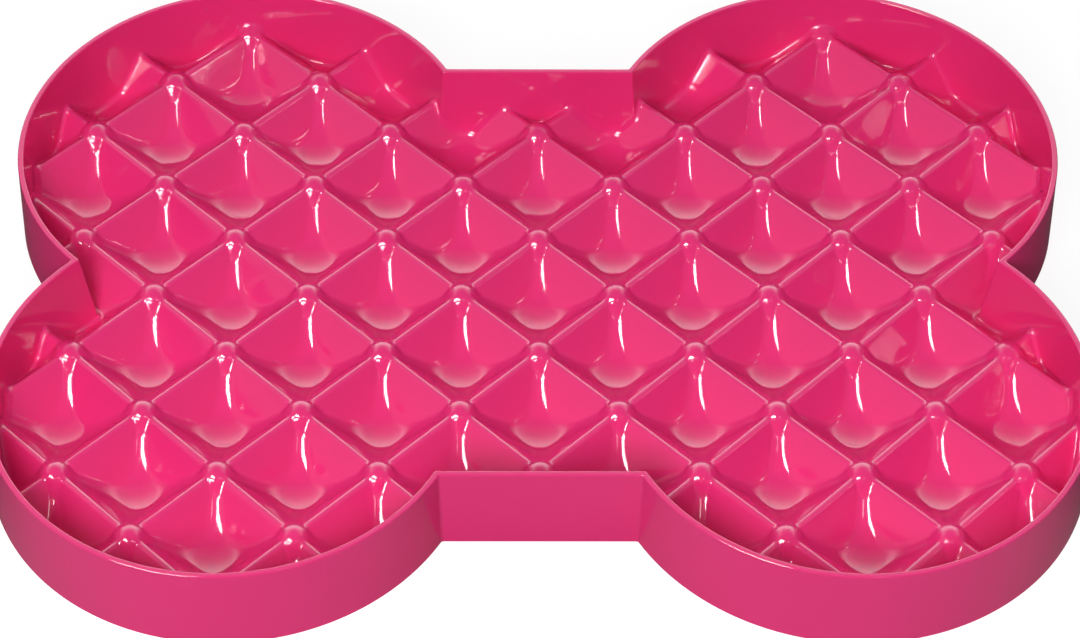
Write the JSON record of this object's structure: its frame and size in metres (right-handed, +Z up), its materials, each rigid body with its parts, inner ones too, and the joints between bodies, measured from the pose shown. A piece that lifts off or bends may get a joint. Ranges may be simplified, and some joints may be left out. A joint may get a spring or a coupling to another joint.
{
  "type": "lick tray",
  "caption": "Bone-shaped slow-feeding lick tray with a tall rim and a quilted floor of square wells, level ridges and domed nubs, on rubber feet.",
  "frame": {"origin": "centre of the tray, at the ground under its feet", "axes": "+X to the right along the bone, +Y to the back, +Z up"},
  "size_m": [0.2942, 0.2202, 0.0272],
  "materials": {
    "moulding": "glossy moulded",
    "foot": "soft matt"
  },
  "bodies": {
    "root": {"rim_wall": "moulding", "floor_middle": "moulding", "floor_left_inner": "moulding", "floor_left_lobe": "moulding", "floor_left_end": "moulding", "floor_right_inner": "moulding", "floor_right_lobe": "moulding", "floor_right_end": "moulding", "foot_front_left": "foot", "foot_front_right": "foot", "foot_back_left": "foot", "foot_back_right": "foot"}
  },
  "joints": []
}
